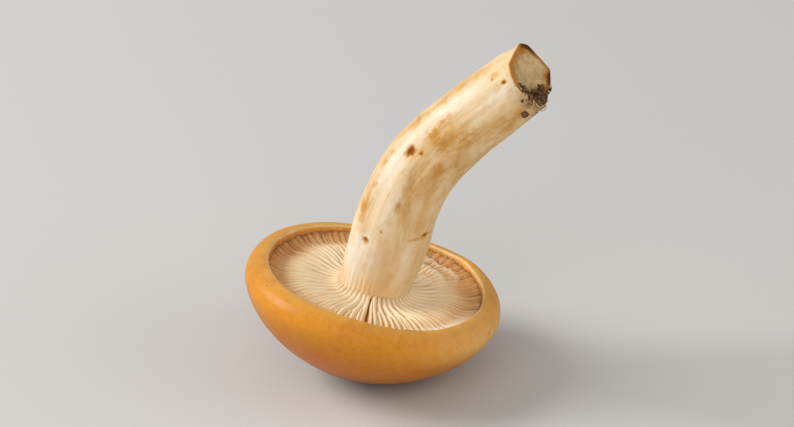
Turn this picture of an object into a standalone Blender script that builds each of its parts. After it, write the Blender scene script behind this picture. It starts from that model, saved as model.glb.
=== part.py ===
"""A nameko mushroom as picked, lying upside down on its domed cap.

It has four pieces: the cap, the ring of gills under it, the bent stem with its sliced foot, and a
clump of soil on the cut. All sizes are metres. The mushroom is shaped in the cap's own frame, where
the crown of the cap is the origin and the stem grows along +Z. It then leans to the right, as it
lies on the floor at Z = 0. The flat spot that the soft crown makes on the floor is at the origin.
"""

import math

import bmesh
import bpy
import numpy as np
from mathutils import Vector, noise

# Cap: a dome whose margin rolls in to a rounded lip. A pointedness of 0.5 is an ellipse, 1 a parabola
CAP_RADIUS = 0.0201
WIDEST_HEIGHT = 0.0129
CAP_HEIGHT = 0.0159
CROWN_POINTEDNESS = 0.66
LIP_RADIUS = 0.0173
OPENING_RADIUS = 0.0168
LIP_DROP = 0.0006

# Underside of the flesh, from the groove inside the lip to the level root of the stem
GROOVE_RADIUS = 0.0167
GROOVE_HEIGHT = 0.0118
ROOT_RADIUS = 0.0065
ROOT_HEIGHT = 0.0080

# Gills: free edges swell between the groove and the stem, with a furrow between two ridges
GILL_RIDGES = 72
GILL_INNER_RADIUS = 0.0057
GILL_EDGE_AT_STEM = 0.0136
GILL_EDGE_SWELL = 0.0144
GILL_EDGE_AT_LIP = 0.0129
FURROW_DEPTH = 0.0026

# Gap between two pieces that touch
GAP = 0.0003

# Slow waves of the grown cap: waves round the cap, size, and the direction of the first crest
OUTLINE_LOBES = ((3, 0.009, 2.04), (5, 0.003, 0.9))
MARGIN_WAVES = ((2, 0.00037, 0.54), (3, 0.00038, 0.29), (5, 0.00008, 1.9))

# Stem: points of its middle line in the cap's frame, each with the stem's radius there
STEM_ROUTE = (
    (0.0000, 0.0000, 0.0083, 0.0050),
    (0.0001, 0.0000, 0.0133, 0.0050),
    (0.0004, 0.0000, 0.0174, 0.0057),
    (0.0009, 0.0000, 0.0219, 0.0061),
    (0.0016, -0.0003, 0.0295, 0.0058),
    (0.0039, -0.0008, 0.0370, 0.0056),
    (0.0082, -0.0016, 0.0440, 0.0054),
    (0.0126, -0.0026, 0.0498, 0.0052),
    (0.0161, -0.0036, 0.0548, 0.0050),
    (0.0188, -0.0044, 0.0595, 0.0048),
)
STEM_RINGS = 30
STEM_SIDES = 28
STEM_RIBS = ((2, 0.030, 0.6), (3, 0.022, 1.7), (7, 0.010, 0.3))
RIB_TWIST = 18.0

# Knife cut through the foot, as a point and a direction in the cap's frame
CUT_POINT = (0.0162, -0.0037, 0.0552)
CUT_NORMAL = (0.56, -0.42, 0.71)

# Soil that sticks to the lower edge of the cut, in the cap's frame
SOIL_SIZE = (0.0021, 0.0017, 0.0018)
SOIL_PLACE = (0.0179, -0.0062, 0.0535)
SOIL_ROUGHNESS = 0.34

# Lean of the cap's axis to the right, and how far the soft crown flattens on the floor
LEAN = math.radians(11.3)
FLAT_DEPTH = 0.00016

CAP_SEGMENTS = 64
DOME_RINGS = 14
MERGE = 0.000002


def clear_scene():
    """Removes every object that the file holds."""
    for old in list(bpy.data.objects):
        bpy.data.objects.remove(old, do_unlink=True)


def new_collection(name):
    """A collection of that name, linked to the scene."""
    made = bpy.data.collections.new(name)
    bpy.context.scene.collection.children.link(made)
    return made


def plain_material(name, colour, roughness):
    """A Principled surface of one colour."""
    material = bpy.data.materials.new(name)
    material.use_nodes = True
    shader = material.node_tree.nodes["Principled BSDF"]
    shader.inputs["Base Color"].default_value = (*colour, 1.0)
    shader.inputs["Roughness"].default_value = roughness
    shader.inputs["Metallic"].default_value = 0.0
    return material


def quarter(centre, across, along, start, count):
    """Points of a quarter ellipse about centre, turning on from the angle start, without its first."""
    turns = [math.radians(start + 90.0 * step / count) for step in range(1, count + 1)]
    return [
        (centre[0] + across * math.cos(a), centre[1] + along * math.sin(a)) for a in turns
    ]


def dome_height(rise):
    """Height of the dome over its crown, where its radius is CAP_RADIUS times the sine of rise."""
    return WIDEST_HEIGHT * (1.0 - np.cos(rise) ** (2 * CROWN_POINTEDNESS))


def flesh_height(radius):
    """Height of the flesh's underside: level over the root, then a rising curve to the groove."""
    share = np.clip((radius - ROOT_RADIUS) / (GROOVE_RADIUS - ROOT_RADIUS), 0.0, 1.0)
    return ROOT_HEIGHT + (GROOVE_HEIGHT - ROOT_HEIGHT) * share**1.8


def gill_edge_height(radius):
    """Height of the gills' free edges: a low swell between the stem and the groove."""
    outer = GROOVE_RADIUS - GAP
    share = np.clip((radius - GILL_INNER_RADIUS) / (outer - GILL_INNER_RADIUS), 0.0, 1.0)
    ends = GILL_EDGE_AT_STEM + (GILL_EDGE_AT_LIP - GILL_EDGE_AT_STEM) * share
    swell = GILL_EDGE_SWELL - (GILL_EDGE_AT_STEM + GILL_EDGE_AT_LIP) / 2
    return ends + swell * np.sin(math.pi * share**1.3)


def cap_profile():
    """Half section of the cap, from the level flesh over the root round to the crown."""
    roof = [(0.0, ROOT_HEIGHT), (ROOT_RADIUS, ROOT_HEIGHT)]
    for step in range(1, 6):
        radius = ROOT_RADIUS + (GROOVE_RADIUS - ROOT_RADIUS) * step / 5
        roof.append((radius, float(flesh_height(radius))))
    lip_start = CAP_HEIGHT - LIP_DROP
    wall = [(OPENING_RADIUS, lip_start)]
    inner_lip = quarter((LIP_RADIUS, lip_start), OPENING_RADIUS - LIP_RADIUS, LIP_DROP, 0.0, 3)
    across, along = CAP_RADIUS - LIP_RADIUS, CAP_HEIGHT - WIDEST_HEIGHT
    margin = quarter((LIP_RADIUS, WIDEST_HEIGHT), across, along, 90.0, 5)
    margin = [(2 * LIP_RADIUS - radius, height) for radius, height in margin]
    rises = [math.pi / 2 * step / DOME_RINGS for step in reversed(range(DOME_RINGS))]
    dome = [(CAP_RADIUS * math.sin(rise), float(dome_height(rise))) for rise in rises]
    return roof + wall + inner_lip + margin + dome


def gill_profile():
    """Closed half section of the gill ring, along the free edges and back along the flesh."""
    outer = GROOVE_RADIUS - GAP
    edges = [
        (radius, float(gill_edge_height(radius))) for radius in np.linspace(outer, GILL_INNER_RADIUS, 8)
    ]
    backs = [
        (radius, float(flesh_height(radius)) + GAP) for radius in np.linspace(GILL_INNER_RADIUS, outer, 5)
    ]
    return edges + backs


def turned(name, profile, steps, closed=False):
    """A new object: the profile, drawn in the XZ plane, turned once round Z and merged."""
    count = len(profile)
    edges = [(i, i + 1) for i in range(count - 1)]
    if closed:
        edges.append((count - 1, 0))
    mesh = bpy.data.meshes.new(name + "_profile")
    mesh.from_pydata([(radius, 0.0, height) for radius, height in profile], edges, [])
    outline = bpy.data.objects.new(name + "_profile", mesh)
    bpy.context.scene.collection.objects.link(outline)
    screw = outline.modifiers.new("turn", "SCREW")
    screw.axis = "Z"
    screw.angle = math.tau
    screw.steps = steps
    screw.render_steps = steps
    screw.use_merge_vertices = True
    screw.merge_threshold = MERGE
    graph = bpy.context.evaluated_depsgraph_get()
    solid = bpy.data.meshes.new_from_object(outline.evaluated_get(graph))
    bpy.data.objects.remove(outline, do_unlink=True)
    solid.name = name
    made = bpy.data.objects.new(name, solid)
    bpy.context.scene.collection.objects.link(made)
    return made


def points_of(piece):
    """The piece's vertices as an array of rows."""
    flat = np.empty(len(piece.data.vertices) * 3)
    piece.data.vertices.foreach_get("co", flat)
    return flat.reshape(-1, 3)


def move_points(piece, points):
    """Puts the piece's vertices at these points."""
    piece.data.vertices.foreach_set("co", np.asarray(points, float).ravel())
    piece.data.update()


def waves(angle, table):
    """Sum of the table's slow waves at each angle round the axis."""
    return sum(size * np.cos(count * (angle - first)) for count, size, first in table)


def grown(points):
    """The turned shape as it grew, with lobes in its outline and waves in its margin."""
    x, y, z = points.T
    hold = np.clip(np.hypot(x, y) / CAP_RADIUS, 0.0, 1.0)
    angle = np.arctan2(y, x)
    swell = 1.0 + waves(angle, OUTLINE_LOBES) * hold**2
    lift = waves(angle, MARGIN_WAVES) * hold**3 * np.clip(z / CAP_HEIGHT, 0.0, 1.0)
    return np.column_stack([x * swell, y * swell, z + lift])


def leaned(points):
    """Turned about Y, so that the cap's axis leans to the right."""
    x, y, z = points.T
    c, s = math.cos(LEAN), math.sin(LEAN)
    return np.column_stack([x * c + z * s, y, z * c - x * s])


def floor_shift():
    """The move that brings the leaning dome down on the floor, with its lowest point at the origin."""
    turn, rise = np.meshgrid(np.linspace(0, math.tau, 361), np.linspace(0, math.pi / 2, 181))
    radius, height = CAP_RADIUS * np.sin(rise), dome_height(rise)
    ring = [radius * np.cos(turn), radius * np.sin(turn), height]
    dome = leaned(grown(np.column_stack([part.ravel() for part in ring])))
    low = dome[dome[:, 2].argmin()]
    return np.array([-low[0], -low[1], -low[2] - FLAT_DEPTH])


def lay_down(piece):
    """Moves a piece that is shaped in the cap's frame to where the mushroom lies on the floor."""
    move_points(piece, leaned(points_of(piece)) + floor_shift())


def stem_line(count):
    """Middle line of the stem by a smooth cubic through its route: points, directions and radii."""
    route = np.array(STEM_ROUTE)
    before, after = 2 * route[0] - route[1], 2 * route[-1] - route[-2]
    knots = np.vstack([before, route, after])
    spans = len(route) - 1
    where = np.linspace(0.0, spans - 1e-9, count)
    index, t = where.astype(int), (where % 1.0)[:, None]
    a, b, c, d = (knots[index + shift] for shift in range(4))
    line = 0.5 * (2 * b + (c - a) * t + (2 * a - 5 * b + 4 * c - d) * t**2
                  + (3 * b - a - 3 * c + d) * t**3)
    run = np.gradient(line[:, :3], axis=0)
    return line[:, :3], run / np.linalg.norm(run, axis=1)[:, None], line[:, 3]


def stem_solid(name, extra=0.0):
    """The stem as a straight turned rod whose rings are then set along the bent middle line.

    extra thickens it on all sides, for the hollow that the soil keeps round it.
    """
    points, runs, radii = stem_line(STEM_RINGS)
    profile = [(0.0, float(STEM_RINGS - 1)), *((1.0, float(i)) for i in reversed(range(STEM_RINGS)))]
    rod = turned(name, profile + [(0.0, 0.0)], STEM_SIDES)
    x, y, z = points_of(rod).T
    ring = np.rint(z).astype(int)
    angle = np.arctan2(y, x)
    height = points[ring, 2]
    ribs = 1.0 + waves(angle + RIB_TWIST * height, STEM_RIBS)
    reach = np.hypot(x, y) * (radii[ring] * ribs + extra)
    side = np.cross(np.array([0.0, 1.0, 0.0]), runs[ring])
    side /= np.linalg.norm(side, axis=1)[:, None]
    depth = np.cross(runs[ring], side)
    spread = side * (np.cos(angle) * reach)[:, None] + depth * (np.sin(angle) * reach)[:, None]
    move_points(rod, points[ring] + spread)
    slice_off(rod, Vector(CUT_POINT) + Vector(CUT_NORMAL).normalized() * extra, CUT_NORMAL)
    lay_down(rod)
    return rod


def slice_off(piece, point, normal):
    """Cuts the piece flat through the point, and takes away what lies on the normal's side."""
    body = bmesh.new()
    body.from_mesh(piece.data)
    everything = body.verts[:] + body.edges[:] + body.faces[:]
    cut = bmesh.ops.bisect_plane(
        body, geom=everything, dist=MERGE, plane_co=point, plane_no=normal, clear_outer=True
    )
    rim = [item for item in cut["geom_cut"] if isinstance(item, bmesh.types.BMEdge)]
    bmesh.ops.holes_fill(body, edges=rim, sides=0)
    bmesh.ops.recalc_face_normals(body, faces=body.faces[:])
    body.to_mesh(piece.data)
    body.free()


def finish_piece(piece, home, material, sharp_degrees=35.0):
    """Files the piece in its collection, with its material and smooth shading."""
    for holder in list(piece.users_collection):
        holder.objects.unlink(piece)
    home.objects.link(piece)
    body = bmesh.new()
    body.from_mesh(piece.data)
    bmesh.ops.recalc_face_normals(body, faces=body.faces[:])
    body.to_mesh(piece.data)
    body.free()
    piece.data.materials.clear()
    piece.data.materials.append(material)
    piece.data.shade_smooth()
    piece.data.set_sharp_from_angle(angle=math.radians(sharp_degrees))


def make_cap():
    """The cap, set on the floor, with the flat spot where its crown rests."""
    cap = turned("cap", cap_profile(), CAP_SEGMENTS)
    move_points(cap, grown(points_of(cap)))
    lay_down(cap)
    slice_off(cap, Vector((0.0, 0.0, 0.0)), (0.0, 0.0, -1.0))
    return cap


def make_gills():
    """The ring of gills: twice as many turns as ridges, and every other turn sinks to a furrow."""
    ring = turned("gills", gill_profile(), 2 * GILL_RIDGES, closed=True)
    points = points_of(ring)
    radius = np.hypot(points[:, 0], points[:, 1])
    turn = np.rint(np.arctan2(points[:, 1], points[:, 0]) / (math.pi / GILL_RIDGES)).astype(int)
    middle = (gill_edge_height(radius) + flesh_height(radius) + GAP) / 2
    outer = GROOVE_RADIUS - GAP
    share = np.clip((radius - GILL_INNER_RADIUS) / (outer - GILL_INNER_RADIUS), 0.0, 1.0)
    depth = FURROW_DEPTH * (0.35 + 0.65 * np.sin(math.pi * share)) * (1.0 - 0.75 * share**6)
    furrow = (turn % 2 == 1) & (points[:, 2] > middle)
    points[furrow, 2] -= np.minimum(depth, points[:, 2] - middle)[furrow]
    move_points(ring, grown(points))
    lay_down(ring)
    return ring


def make_soil(cutters):
    """A rough lump of soil on the foot, hollowed where the stem passes through it."""
    body = bmesh.new()
    bmesh.ops.create_icosphere(body, subdivisions=3, radius=1.0)
    for vert in body.verts:
        rough = 1.0 + SOIL_ROUGHNESS * noise.noise(vert.co * 2.2 + Vector((3.1, 0.4, 7.7)))
        vert.co = Vector(a * b * rough for a, b in zip(vert.co, SOIL_SIZE)) + Vector(SOIL_PLACE)
    mesh = bpy.data.meshes.new("soil")
    body.to_mesh(mesh)
    body.free()
    soil = bpy.data.objects.new("soil", mesh)
    bpy.context.scene.collection.objects.link(soil)
    lay_down(soil)
    hollow = stem_solid("stem_hollow", extra=GAP)
    for holder in list(hollow.users_collection):
        holder.objects.unlink(hollow)
    cutters.objects.link(hollow)
    hollow.hide_render = True
    hollow.display_type = "WIRE"
    bite = soil.modifiers.new("stem_hollow", "BOOLEAN")
    bite.operation = "DIFFERENCE"
    bite.object = hollow
    return soil


def main():
    """Builds the four pieces in the collection nameko_mushroom."""
    clear_scene()
    pieces = new_collection("nameko_mushroom")
    cutters = new_collection("cutters")
    skin = plain_material("cap_skin", (0.60, 0.23, 0.030), 0.38)
    gill_flesh = plain_material("gill_flesh", (0.78, 0.52, 0.27), 0.75)
    stem_flesh = plain_material("stem_flesh", (0.80, 0.58, 0.33), 0.60)
    dark_soil = plain_material("dark_soil", (0.060, 0.034, 0.020), 0.95)
    finish_piece(make_cap(), pieces, skin)
    finish_piece(make_gills(), pieces, gill_flesh, sharp_degrees=60.0)
    finish_piece(stem_solid("stem"), pieces, stem_flesh)
    finish_piece(make_soil(cutters), pieces, dark_soil)


main()
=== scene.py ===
"""How the nameko mushroom looks: its skin, gills, stem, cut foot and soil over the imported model.

The mushroom is shaped in its cap's frame, with the crown of the cap at the origin and the stem
along +Z, and is then laid down as the solids are. All sizes are metres unless a name says mm.
"""

import math

import bpy
import numpy as np
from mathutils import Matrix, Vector


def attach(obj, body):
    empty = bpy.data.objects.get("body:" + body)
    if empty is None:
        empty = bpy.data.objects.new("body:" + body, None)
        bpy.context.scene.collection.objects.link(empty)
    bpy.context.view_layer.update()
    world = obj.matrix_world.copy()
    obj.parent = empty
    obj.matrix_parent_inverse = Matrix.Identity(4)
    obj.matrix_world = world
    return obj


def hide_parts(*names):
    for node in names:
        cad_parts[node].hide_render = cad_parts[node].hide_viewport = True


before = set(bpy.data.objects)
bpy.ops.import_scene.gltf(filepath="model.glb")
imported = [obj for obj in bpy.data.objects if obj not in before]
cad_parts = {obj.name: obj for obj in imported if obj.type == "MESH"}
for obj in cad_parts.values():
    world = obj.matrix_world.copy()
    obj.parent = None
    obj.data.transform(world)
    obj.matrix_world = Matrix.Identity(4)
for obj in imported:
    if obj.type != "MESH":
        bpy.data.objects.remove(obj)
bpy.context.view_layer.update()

MM = 0.001

# Cap section, as the solid has it
CAP_RADIUS = 0.0201
WIDEST_HEIGHT = 0.0129
CAP_HEIGHT = 0.0159
CROWN_POINTEDNESS = 0.66
LIP_RADIUS = 0.0173
OPENING_RADIUS = 0.0168
BELT_RADIUS = 0.017  # of the unrolled skin, for the fine lines that run out to the rim
BELT_STRETCH = 0.16
LIP_DROP = 0.0006
GROOVE_RADIUS = 0.0167
GROOVE_HEIGHT = 0.0118
ROOT_RADIUS = 0.0065
ROOT_HEIGHT = 0.008

# Free edges of the gills
GILL_INNER_RADIUS = 0.0057
GILL_OUTER_RADIUS = 0.0164
GILL_EDGE_AT_STEM = 0.0136
GILL_EDGE_SWELL = 0.0144
GILL_EDGE_AT_LIP = 0.0129

# Slow waves of the grown cap: waves round the cap, size, and the direction of the first crest
OUTLINE_LOBES = ((3, 0.009, 2.04), (5, 0.003, 0.9))
MARGIN_WAVES = ((2, 0.00037, 0.54), (3, 0.00038, 0.29), (5, 0.00008, 1.9))

# Middle line of the stem in the cap's frame, each point with the stem's radius there
STEM_ROUTE = np.array((
    (0.0, 0.0, 0.0083, 0.005),
    (0.0001, 0.0, 0.0133, 0.005),
    (0.0004, 0.0, 0.0174, 0.0057),
    (0.0009, 0.0, 0.0219, 0.0061),
    (0.0016, -0.0003, 0.0295, 0.0058),
    (0.0039, -0.0008, 0.037, 0.0056),
    (0.0082, -0.0016, 0.044, 0.0054),
    (0.0126, -0.0026, 0.0498, 0.0052),
    (0.0161, -0.0036, 0.0548, 0.005),
    (0.0188, -0.0044, 0.0595, 0.0048),
))
FIRST_KNOT = 0.75
MEAN_RADIUS = 5.4  # of the unrolled stem, in mm
LINE_RADIUS = 5.6  # the same for its lines
STEM_RIBS = ((2, 0.03, 0.6), (3, 0.022, 1.7), (7, 0.01, 0.3))
RIB_TWIST = 18.0
CUT_POINT = np.array((0.0162, -0.0037, 0.0552))
CUT_NORMAL = np.array((0.56, -0.42, 0.71)) / math.hypot(0.56, 0.42, 0.71)
SOIL_SIZE = np.array((0.0021, 0.0017, 0.0018))
SOIL_PLACE = np.array((0.0179, -0.0062, 0.0535))

LEAN = math.radians(11.3)
FLAT_DEPTH = 0.00016

# Gills: one full gill, then a short one, a half one and a short one, over and over. One furrow
# at the front is open wide: it lies between a full gill and the half gill beside it. All end
# GILL_END mm from the axis, and their slopes are RUN_ON times as wide as the furrows need.
FULL_GILLS = 44
SLOT_ANGLE = math.radians(-94.5)
CRUMPLE_ANGLE = math.radians(58.0)
GILL_END = 16.78
RUN_ON = 1.45

# Marks on the stem: way from its root and angle round it, length along it and width, strength
# Tan patches: the stem's own blotches, and broad ones on the underside of its bend that are
# painted shade
TAN_PATCHES_AND_SHADE = (
    (33.0, -136.0, 1.8, 0.8, 0.7),
    (35.0, -132.0, 2.8, 1.6, 1.05),
    (37.0, -134.0, 2.2, 1.2, 0.85),
    (35.2, -108.0, 4.2, 2.6, 0.9),
    (38.0, -92.0, 5.0, 2.6, 0.8),
    (28.5, -102.0, 6.0, 1.4, 0.7),
    (23.7, -92.0, 6.0, 1.2, 0.65),
    (32.0, -76.0, 7.0, 2.4, 0.75),
    (22.4, -102.0, 0.9, 0.6, 0.8),
    (19.2, -153.0, 3.4, 1.2, 0.95),
    (22.6, -159.0, 2.4, 1.0, 0.8),
    (28.0, -166.0, 3.4, 0.9, 0.7),
    (33.0, -172.0, 4.5, 1.1, 0.7),
    (39.6, -178.0, 5.0, 1.2, 0.65),
    (45.6, 178.0, 3.5, 1.0, 0.6),
    (47.7, -154.0, 0.9, 0.7, 0.9),
    (24.0, -84.0, 5.0, 0.8, 0.6),
    (27.0, -62.0, 6.0, 0.9, 0.55),
    (19.5, -58.0, 3.5, 1.2, 0.5),
    (10.5, -78.0, 3.0, 2.5, 0.35),
    (29.0, 95.0, 6.0, 1.8, 0.8),
    (17.5, 60.0, 3.0, 1.2, 0.8),
    (42.0, 40.0, 4.5, 1.6, 0.85),
    (14.0, 140.0, 3.5, 1.3, 0.7),
    (37.5, 130.0, 3.0, 1.1, 0.75),
    (24.0, 10.0, 3.2, 1.0, 0.65),
    (48.5, -30.0, 2.6, 1.6, 0.8),
    (50.0, 80.0, 2.8, 1.8, 0.85),
    (33.0, -42.0, 9.0, 2.6, 0.6),
    (45.0, -66.0, 7.0, 2.2, 0.7),
    (43.5, -98.0, 4.0, 1.2, 0.35),
)
BROWN_SPOTS = (
    (30.2, -137.0, 1.05, 0.72, 1.0),
    (31.4, -120.0, 0.55, 0.5, 0.85),
    (15.2, -133.0, 0.58, 0.44, 0.85),
    (17.5, -114.0, 0.5, 0.32, 0.45),
    (48.8, -131.0, 0.55, 0.34, 1.0),
    (47.2, -150.0, 0.4, 0.45, 0.55),
    (18.5, -39.0, 0.46, 0.78, 1.0),
    (17.6, -45.0, 0.22, 0.3, 0.6),
    (17.1, -66.0, 0.2, 0.26, 0.4),
    (38.5, 96.0, 0.6, 0.42, 0.9),
    (23.0, 74.0, 0.5, 0.36, 0.8),
    (28.6, 136.0, 0.38, 0.34, 0.7),
    (12.8, 38.0, 0.46, 0.4, 0.8),
    (43.6, 12.0, 0.52, 0.36, 0.9),
    (20.6, 168.0, 0.45, 0.36, 0.75),
    (33.4, 30.0, 0.4, 0.3, 0.6),
    (46.0, 138.0, 0.6, 0.4, 0.9),
)
CREASE_ENDS = ((17.2, -66.0), (18.4, -36.0))

# Whiter streaks of the stem, in the same terms: those down its front left side are a painted
# highlight, the others are its own paler streaks
PALE_STREAKS_AND_HIGHLIGHT = (
    (27.0, -149.0, 7.5, 1.6, 1.0),
    (39.5, -150.0, 6.0, 1.6, 0.85),
    (12.0, -142.0, 6.0, 2.4, 1.0),
    (12.0, -110.0, 3.5, 1.6, 0.45),
    (46.5, -116.0, 4.5, 1.5, 0.8),
    (23.0, -112.0, 6.0, 1.0, 0.55),
    (13.0, -62.0, 5.0, 1.0, 0.45),
    (36.0, -160.0, 9.0, 1.0, 0.5),
    (26.0, 60.0, 8.0, 1.2, 0.6),
    (40.0, 100.0, 7.0, 1.3, 0.6),
    (18.0, 110.0, 6.0, 1.4, 0.6),
    (32.0, 155.0, 8.0, 1.1, 0.55),
    (15.0, 0.0, 6.0, 1.2, 0.45),
    (38.0, 10.0, 7.0, 1.1, 0.5),
)

# Sides of the cut that are nearly straight: direction round the stem and reach in mm
CUT_SIDES = ((89.0, 4.1), (22.0, 4.05), (1.0, 3.8), (-88.0, 4.12), (176.0, 4.28))

# Dark stains on the cut's edge: place from the middle of the cut in mm, width and strength
CUT_STAINS = (
    (2.53, 2.13, -0.73, 1.0, 0.8),
    (-1.64, 2.03, 2.49, 0.6, 0.55),
    (2.41, -0.46, -2.17, 0.95, 0.65),
    (0.6, 2.3, 1.3, 0.45, 0.2),
)
SMUDGE_PLACE = np.array((-0.00072, -0.0034, -0.00151))

# Long folds of the stem: way and angle of both ends, width, and depth in mm
FOLDS = (
    (18.0, -72.0, 31.0, -114.0, 0.55, 0.16),
    (19.5, -55.0, 32.0, -80.0, 0.6, 0.15),
    (21.0, -97.0, 27.5, -106.0, 0.4, 0.09),
    (33.0, -70.0, 44.0, -84.0, 0.6, 0.12),
    (12.0, 20.0, 30.0, 34.0, 0.6, 0.15),
    (22.0, 88.0, 40.0, 70.0, 0.55, 0.15),
    (10.0, 150.0, 26.0, 168.0, 0.5, 0.12),
    (34.0, -4.0, 47.0, 14.0, 0.55, 0.13),
    (30.0, 150.0, 46.0, 128.0, 0.5, 0.12),
)


# Numbers


def lattice_value(cells, seed):
    """A fixed value from -1 to 1 at each point of a whole-numbered lattice, mixed with primes."""
    mixed = (cells * np.array((73856093, 19349663, 83492791))).sum(axis=-1) + seed * 374761393
    low = np.uint64(0xFFFFFFFF)
    mixed = mixed.astype(np.uint64) & low
    for shift, prime in ((15, 2246822519), (13, 3266489917)):
        mixed = ((mixed ^ (mixed >> np.uint64(shift))) * np.uint64(prime)) & low
    mixed = mixed ^ (mixed >> np.uint64(16))
    return (mixed & np.uint64(0xFFFF)).astype(float) / 32767.5 - 1.0


def lumps(points, cell, seed):
    """Smooth noise from -1 to 1: lattice values a cell apart, blended by a fifth-order curve."""
    where = np.asarray(points) / cell
    base = np.floor(where)
    part = where - base
    part = part**3 * (part * (part * 6 - 15) + 10)
    base = base.astype(np.int64)
    total = 0.0
    for x in (0, 1):
        for y in (0, 1):
            for z in (0, 1):
                corner = np.array((x, y, z))
                weight = np.where(corner, part, 1 - part).prod(axis=-1)
                total = total + weight * lattice_value(base + corner, seed)
    return total


def round_lumps(angle, count, seed):
    """Noise round a circle: lumps along a ring that is count cells long, so it has no seam."""
    reach = count / math.tau
    return lumps(stacked(np.cos(angle) * reach, np.sin(angle) * reach, 0.0), 1.0, seed)


def part_way(value, low, high):
    """0 below low, 1 above high, and a straight line between them."""
    return np.clip((value - low) / (high - low), 0.0, 1.0)


def smooth(value, low, high):
    """0 below low, 1 above high, and the curve 3 t^2 - 2 t^3 between them."""
    t = part_way(value, low, high)
    return t * t * (3 - 2 * t)


def hump(value, middle, width):
    """A bell curve: 1 at the middle, falling to 0.37 at the width."""
    return np.exp(-(((value - middle) / width) ** 2))


def waves(angle, table):
    """Sum of the table's slow waves at each angle round the axis."""
    return sum(size * np.cos(count * (angle - first)) for count, size, first in table)


def around(angle, middle_degrees):
    """Angle from the middle direction, from minus to plus half a turn, in radians."""
    return np.angle(np.exp(1j * (angle - math.radians(middle_degrees))))


def unit(vectors):
    """The same directions with a length of 1."""
    return vectors / np.maximum(np.linalg.norm(vectors, axis=-1, keepdims=True), 1e-9)


def stacked(*parts):
    """Points or vectors from their three parts, which are spread to one shape."""
    return np.stack(np.broadcast_arrays(*parts), axis=-1)


def with_poles(values, at_start=0.0, at_end=0.0):
    """The values of a grid in a row, and then those of its two poles."""
    return np.concatenate([values.ravel(), [at_start, at_end]])


# Where the mushroom lies


def grown(points):
    """The turned shape as it grew: radius times the outline's lobes, height plus margin waves."""
    x, y, z = np.moveaxis(points, -1, 0)
    hold = np.clip(np.hypot(x, y) / CAP_RADIUS, 0.0, 1.0)
    angle = np.arctan2(y, x)
    swell = 1.0 + waves(angle, OUTLINE_LOBES) * hold**2
    lift = waves(angle, MARGIN_WAVES) * hold**3 * np.clip(z / CAP_HEIGHT, 0.0, 1.0)
    return stacked(x * swell, y * swell, z + lift)


def leaned(points):
    """Turned about Y by the lean, so that the cap's axis leans to the right."""
    x, y, z = np.moveaxis(points, -1, 0)
    c, s = math.cos(LEAN), math.sin(LEAN)
    return stacked(x * c + z * s, y, z * c - x * s)


def dome_height(rise):
    """Height of the dome over its crown, where its radius is CAP_RADIUS times the sine of rise."""
    return WIDEST_HEIGHT * (1.0 - np.abs(np.cos(rise)) ** (2 * CROWN_POINTEDNESS))


def floor_shift():
    """The move that brings the lowest point of the leaning dome to the origin, less the flat."""
    turn, rise = np.meshgrid(np.linspace(0, math.tau, 361), np.linspace(0, math.pi / 2, 181))
    radius = CAP_RADIUS * np.sin(rise)
    ring = stacked(radius * np.cos(turn), radius * np.sin(turn), dome_height(rise))
    dome = leaned(grown(ring)).reshape(-1, 3)
    low = dome[dome[:, 2].argmin()]
    return np.array((-low[0], -low[1], -low[2] - FLAT_DEPTH))


FLOOR_SHIFT = floor_shift()


def laid_down(points):
    """Points of the cap's frame, where the mushroom lies on the floor."""
    return leaned(points) + FLOOR_SHIFT


# Meshes


def ring_faces(rows, columns):
    """Quads between the rows of a grid whose columns close to a ring."""
    here = np.arange(columns)
    beside = (here + 1) % columns
    low = np.arange(rows - 1)[:, None] * columns
    high = low + columns
    quads = [low + here, low + beside, high + beside, high + here]
    return np.stack(quads, axis=-1).reshape(-1, 4)


def pole_faces(ring, pole, rising):
    """Triangles between a ring of vertices and one pole, which lies after it where rising."""
    beside = np.roll(ring, -1)
    tips = np.full(len(ring), pole)
    order = (ring, beside, tips) if rising else (beside, ring, tips)
    return np.stack(order, axis=-1)


def new_piece(name, points, groups, fields, finish, flat=None):
    """A smooth mesh object at the origin, from points, groups of faces and values per point.

    The faces that flat names, by number, are shaded flat and don't bend their neighbours' shading.
    """
    points = np.asarray(points, np.float32).reshape(-1, 3)
    corners = np.concatenate([group.ravel() for group in groups]).astype(np.int32)
    sizes = np.concatenate([np.full(len(group), group.shape[1]) for group in groups])
    mesh = bpy.data.meshes.new(name)
    mesh.vertices.add(len(points))
    mesh.vertices.foreach_set("co", points.ravel())
    mesh.loops.add(len(corners))
    mesh.loops.foreach_set("vertex_index", corners)
    mesh.polygons.add(len(sizes))
    mesh.polygons.foreach_set("loop_start", (np.cumsum(sizes) - sizes).astype(np.int32))
    mesh.update(calc_edges=True)
    mesh.validate()
    for field, values in fields.items():
        values = np.asarray(values, np.float32)
        if values.size == points.size:
            layer = mesh.attributes.new(field, "FLOAT_VECTOR", "POINT")
            layer.data.foreach_set("vector", values.ravel())
        else:
            layer = mesh.attributes.new(field, "FLOAT", "POINT")
            layer.data.foreach_set("value", values.ravel())
    mesh.shade_smooth()
    if flat is not None:
        rounded = np.ones(len(sizes), bool)
        rounded[flat] = False
        mesh.polygons.foreach_set("use_smooth", rounded)
    mesh.materials.append(finish)
    piece = bpy.data.objects.new(name, mesh)
    bpy.context.scene.collection.objects.link(piece)
    return piece


def sheet_faces(rows, columns):
    """Faces of a grid of closed rows with a pole at each end. The poles follow its points."""
    count = rows * columns
    first = np.arange(columns)
    last = count - columns + first
    return (
        ring_faces(rows, columns),
        pole_faces(first, count, rising=False),
        pole_faces(last, count + 1, rising=True),
    )


def closed_sheet(grid, start, end):
    """Points and faces of a grid of closed rows, with a pole at its start and one at its end."""
    points = np.vstack([grid.reshape(-1, 3), start[None], end[None]])
    return points, sheet_faces(*grid.shape[:2])


def many(faces, count, each):
    """The faces of one part, numbered for count parts that have each points in a row."""
    start = (np.arange(count) * each)[:, None, None]
    return (faces[None] + start).reshape(-1, faces.shape[-1])


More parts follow.
